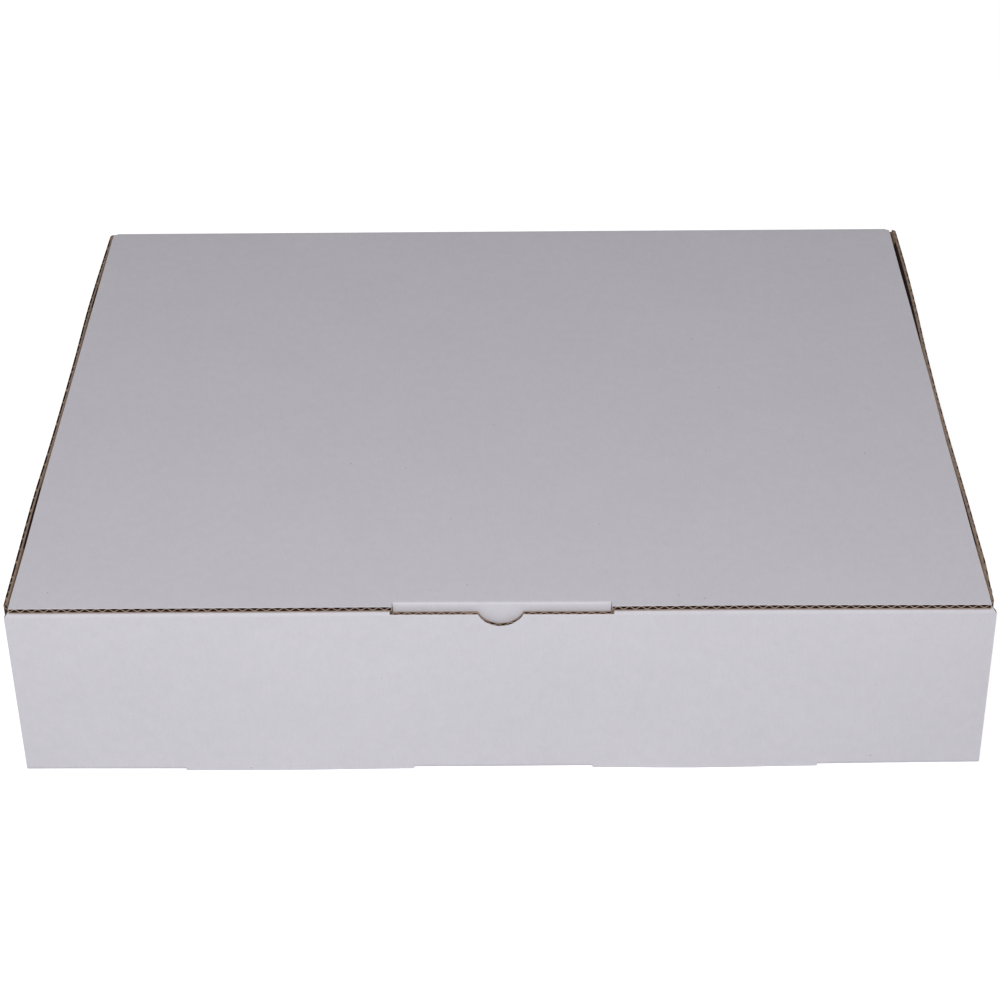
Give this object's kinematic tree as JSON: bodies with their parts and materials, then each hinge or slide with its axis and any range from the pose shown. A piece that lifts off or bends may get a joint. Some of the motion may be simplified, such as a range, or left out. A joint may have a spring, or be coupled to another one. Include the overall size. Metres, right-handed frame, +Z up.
{
  "type": "mailer box",
  "caption": "Flat rectangular mailer box folded from one sheet of corrugated board, with a hinged lid, a tuck tongue in a double front wall and a thumb notch.",
  "frame": {"origin": "middle of the footprint, on the underside", "axes": "+X along the front, to the right as seen from the front; +Y from the front wall to the hinge; +Z up"},
  "size_m": [0.53, 0.43, 0.111],
  "materials": {
    "white_board": "white-topped corrugated board, matt, faintly mottled; brown kraft at the cut edges and inside"
  },
  "bodies": {
    "base": {"tray": "white_board"},
    "lid": {"lid": "white_board"}
  },
  "joints": [
    {"name": "lid_hinge", "type": "hinge", "parent": "base", "child": "lid", "pos_m": [0, 0.215, 0.111], "axis": [-1, 0, 0], "range_deg": [0, 180]}
  ]
}
